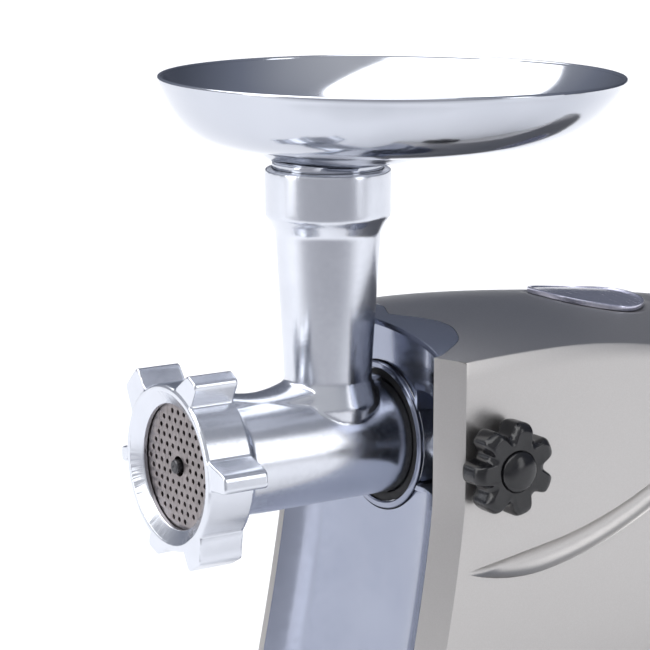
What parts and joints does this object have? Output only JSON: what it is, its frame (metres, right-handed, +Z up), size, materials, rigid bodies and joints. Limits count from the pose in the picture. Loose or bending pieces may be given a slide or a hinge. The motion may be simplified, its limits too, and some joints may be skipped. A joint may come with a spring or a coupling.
{
  "type": "electric meat grinder",
  "caption": "Tabletop electric meat grinder: geared motor housing, clamped aluminium grinding head with auger, knife, plate and ring nut, oval feed tray, locking knob and rocker switch.",
  "frame": {"origin": "middle of the machine's bounding box, on the plane that the feet stand on", "axes": "+Z up; -Y towards the ring nut at the front; +X towards the locking knob"},
  "size_m": [0.2132, 0.3458, 0.308],
  "materials": {
    "cast_aluminium": "satin, lightly tumbled casting",
    "polished_metal": "polished",
    "satin_casing": "satin champagne silver",
    "blue_gloss": "glossy metallised blue grey",
    "plate_steel": "ground, oiled",
    "black_gloss": "glossy",
    "black_plastic": "fine matt",
    "rubber": "matt",
    "steel": "turned",
    "copper": "enamelled copper",
    "bronze": "sintered bronze",
    "nylon": "natural nylon",
    "badge_silver": "satin, plain",
    "red_plastic": "glossy"
  },
  "bodies": {
    "housing": {"main_shell": "satin_casing", "front_cover": "blue_gloss", "rear_cover": "satin_casing", "base_plate": "black_plastic", "top_badge": "badge_silver", "socket_ring": "polished_metal", "socket_gasket": "rubber", "head_socket": "cast_aluminium", "gear_case": "cast_aluminium", "gear_case_cover": "cast_aluminium", "output_bearing_front": "bronze", "output_bearing_rear": "bronze", "idler_bearing_front": "bronze", "idler_bearing_rear": "bronze", "stator": "steel", "field_coil_upper": "copper", "field_coil_lower": "copper", "motor_bracket_front": "steel", "motor_bracket_rear": "steel", "motor_bearing_front": "steel", "motor_bearing_rear": "steel", "brush_holder_left": "black_plastic", "brush_holder_right": "black_plastic", "motor_cradle": "black_plastic", "switch_bezel": "black_plastic", "cord_gland": "rubber", "terminal_block": "nylon", "foot_front_left": "rubber", "foot_screw_front_left": "steel", "foot_front_right": "rubber", "foot_screw_front_right": "steel", "foot_rear_left": "rubber", "foot_screw_rear_left": "steel", "foot_rear_right": "rubber", "foot_screw_rear_right": "steel"},
    "rotor": {"rotor_core": "steel", "motor_shaft": "steel", "commutator": "copper", "cooling_fan": "nylon", "motor_pinion": "steel"},
    "idler": {"idler_gear": "nylon", "idler_pinion": "steel", "idler_shaft": "steel"},
    "output_drive": {"output_gear": "nylon", "output_shaft": "steel"},
    "head": {"grinder_head": "cast_aluminium", "thrust_washer": "nylon"},
    "auger_unit": {"auger": "cast_aluminium", "auger_stud": "steel", "drive_tang": "steel", "cross_blade": "steel"},
    "plate": {"grinding_plate": "plate_steel"},
    "ring": {"ring_nut": "cast_aluminium"},
    "tray": {"feed_tray": "polished_metal"},
    "clamp": {"clamp_shoe": "nylon"},
    "knob": {"lock_screw": "steel", "lock_knob": "black_gloss", "knob_cap": "black_gloss"},
    "rocker": {"switch_rocker": "red_plastic"},
    "reset": {"reset_button": "black_gloss"}
  },
  "joints": [
    {"name": "rotor_spin", "type": "hinge", "parent": "housing", "child": "rotor", "pos_m": [0, 0.00955, 0.09], "axis": [0, 1, 0], "continuous": true},
    {"name": "idler_spin", "type": "hinge", "parent": "housing", "child": "idler", "pos_m": [0.02223, -0.01045, 0.11357], "axis": [0, 1, 0], "continuous": true},
    {"name": "output_spin", "type": "hinge", "parent": "housing", "child": "output_drive", "pos_m": [0, -0.01245, 0.145], "axis": [0, 1, 0], "continuous": true},
    {"name": "head_pull", "type": "slide", "parent": "housing", "child": "head", "axis": [0, -1, 0], "range_m": [0, 0.06]},
    {"name": "auger_spin", "type": "hinge", "parent": "head", "child": "auger_unit", "pos_m": [0, -0.09045, 0.145], "axis": [0, 1, 0], "continuous": true},
    {"name": "plate_slide", "type": "slide", "parent": "head", "child": "plate", "axis": [0, -1, 0], "range_m": [0, 0.0091]},
    {"name": "ring_turn", "type": "hinge", "parent": "plate", "child": "ring", "pos_m": [0, -0.16245, 0.145], "axis": [0, -1, 0], "range_deg": [0, 1080]},
    {"name": "tray_lift", "type": "slide", "parent": "head", "child": "tray", "axis": [0, 0, 1], "range_m": [0, 0.06]},
    {"name": "clamp_slide", "type": "slide", "parent": "housing", "child": "clamp", "axis": [1, 0, 0], "range_m": [0, 0.0046]},
    {"name": "knob_turn", "type": "hinge", "parent": "clamp", "child": "knob", "pos_m": [0.08, -0.04945, 0.145], "axis": [1, 0, 0], "range_deg": [0, 1080]},
    {"name": "rocker_tilt", "type": "hinge", "parent": "housing", "child": "rocker", "pos_m": [-0.068, 0.00555, 0.059], "axis": [0, 0, 1], "range_deg": [-7, 7]},
    {"name": "reset_press", "type": "slide", "parent": "housing", "child": "reset", "axis": [0, -1, 0], "range_m": [0, 0.003], "stiffness_N_per_m": 250}
  ],
  "couplings": [
    {"joint": "idler_spin", "follows": "rotor_spin", "ratio": -0.14286},
    {"joint": "output_spin", "follows": "rotor_spin", "ratio": 0.02381},
    {"joint": "auger_spin", "follows": "rotor_spin", "ratio": 0.02381},
    {"joint": "plate_slide", "follows": "ring_turn", "m_per_rad": 0.00047746},
    {"joint": "clamp_slide", "follows": "knob_turn", "m_per_rad": 0.00023873}
  ]
}
